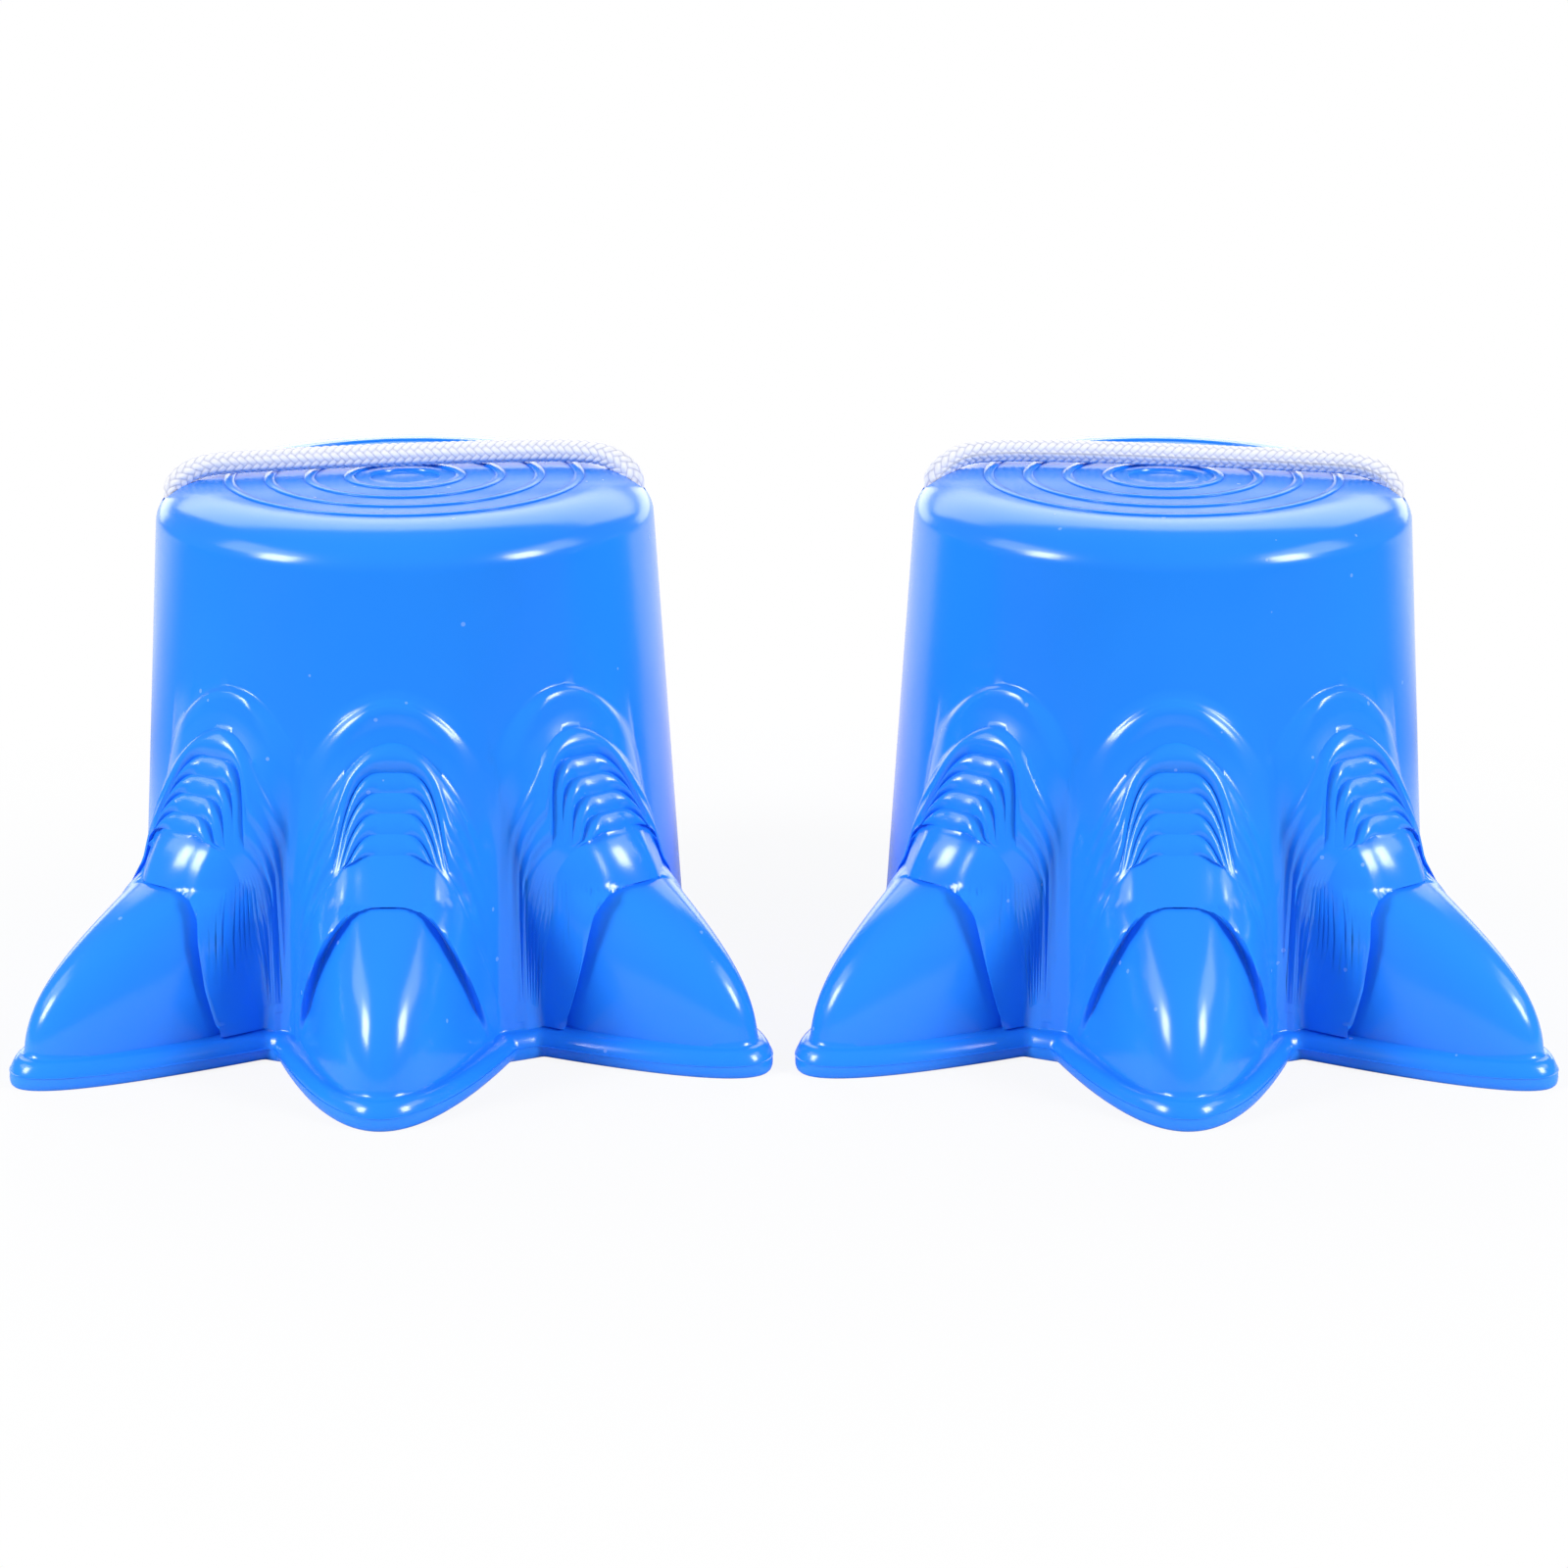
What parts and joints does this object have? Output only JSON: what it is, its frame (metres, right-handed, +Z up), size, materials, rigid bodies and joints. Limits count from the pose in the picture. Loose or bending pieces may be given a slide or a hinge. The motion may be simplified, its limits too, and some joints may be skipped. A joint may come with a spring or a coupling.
{
  "type": "can stilts",
  "caption": "Children's can stilts: hollow moulded cups shaped as clawed feet, with ringed treads to stand on and a hand rope through holes in each cup's shoulder.",
  "frame": {"origin": "on the floor, midway between the stilts and midway between the tips of the middle claws and the backs of the rims", "axes": "+X from the left stilt to the right one, +Z up, the toes point along -Y"},
  "size_m": [0.3602, 0.1802, 0.1329],
  "materials": {
    "shell": "glossy",
    "rope": "matte braid"
  },
  "bodies": {
    "left_stilt": {"left_shell": "shell", "left_rope": "rope", "left_coil": "rope", "left_stopper_knot": "rope", "left_end_knot": "rope"},
    "right_stilt": {"right_shell": "shell", "right_rope": "rope", "right_coil": "rope", "right_stopper_knot": "rope", "right_end_knot": "rope"}
  },
  "joints": [
    {"name": "step_lift", "type": "slide", "parent": "left_stilt", "child": "right_stilt", "axis": [0, 0, 1], "range_m": [0, 0.15]}
  ]
}
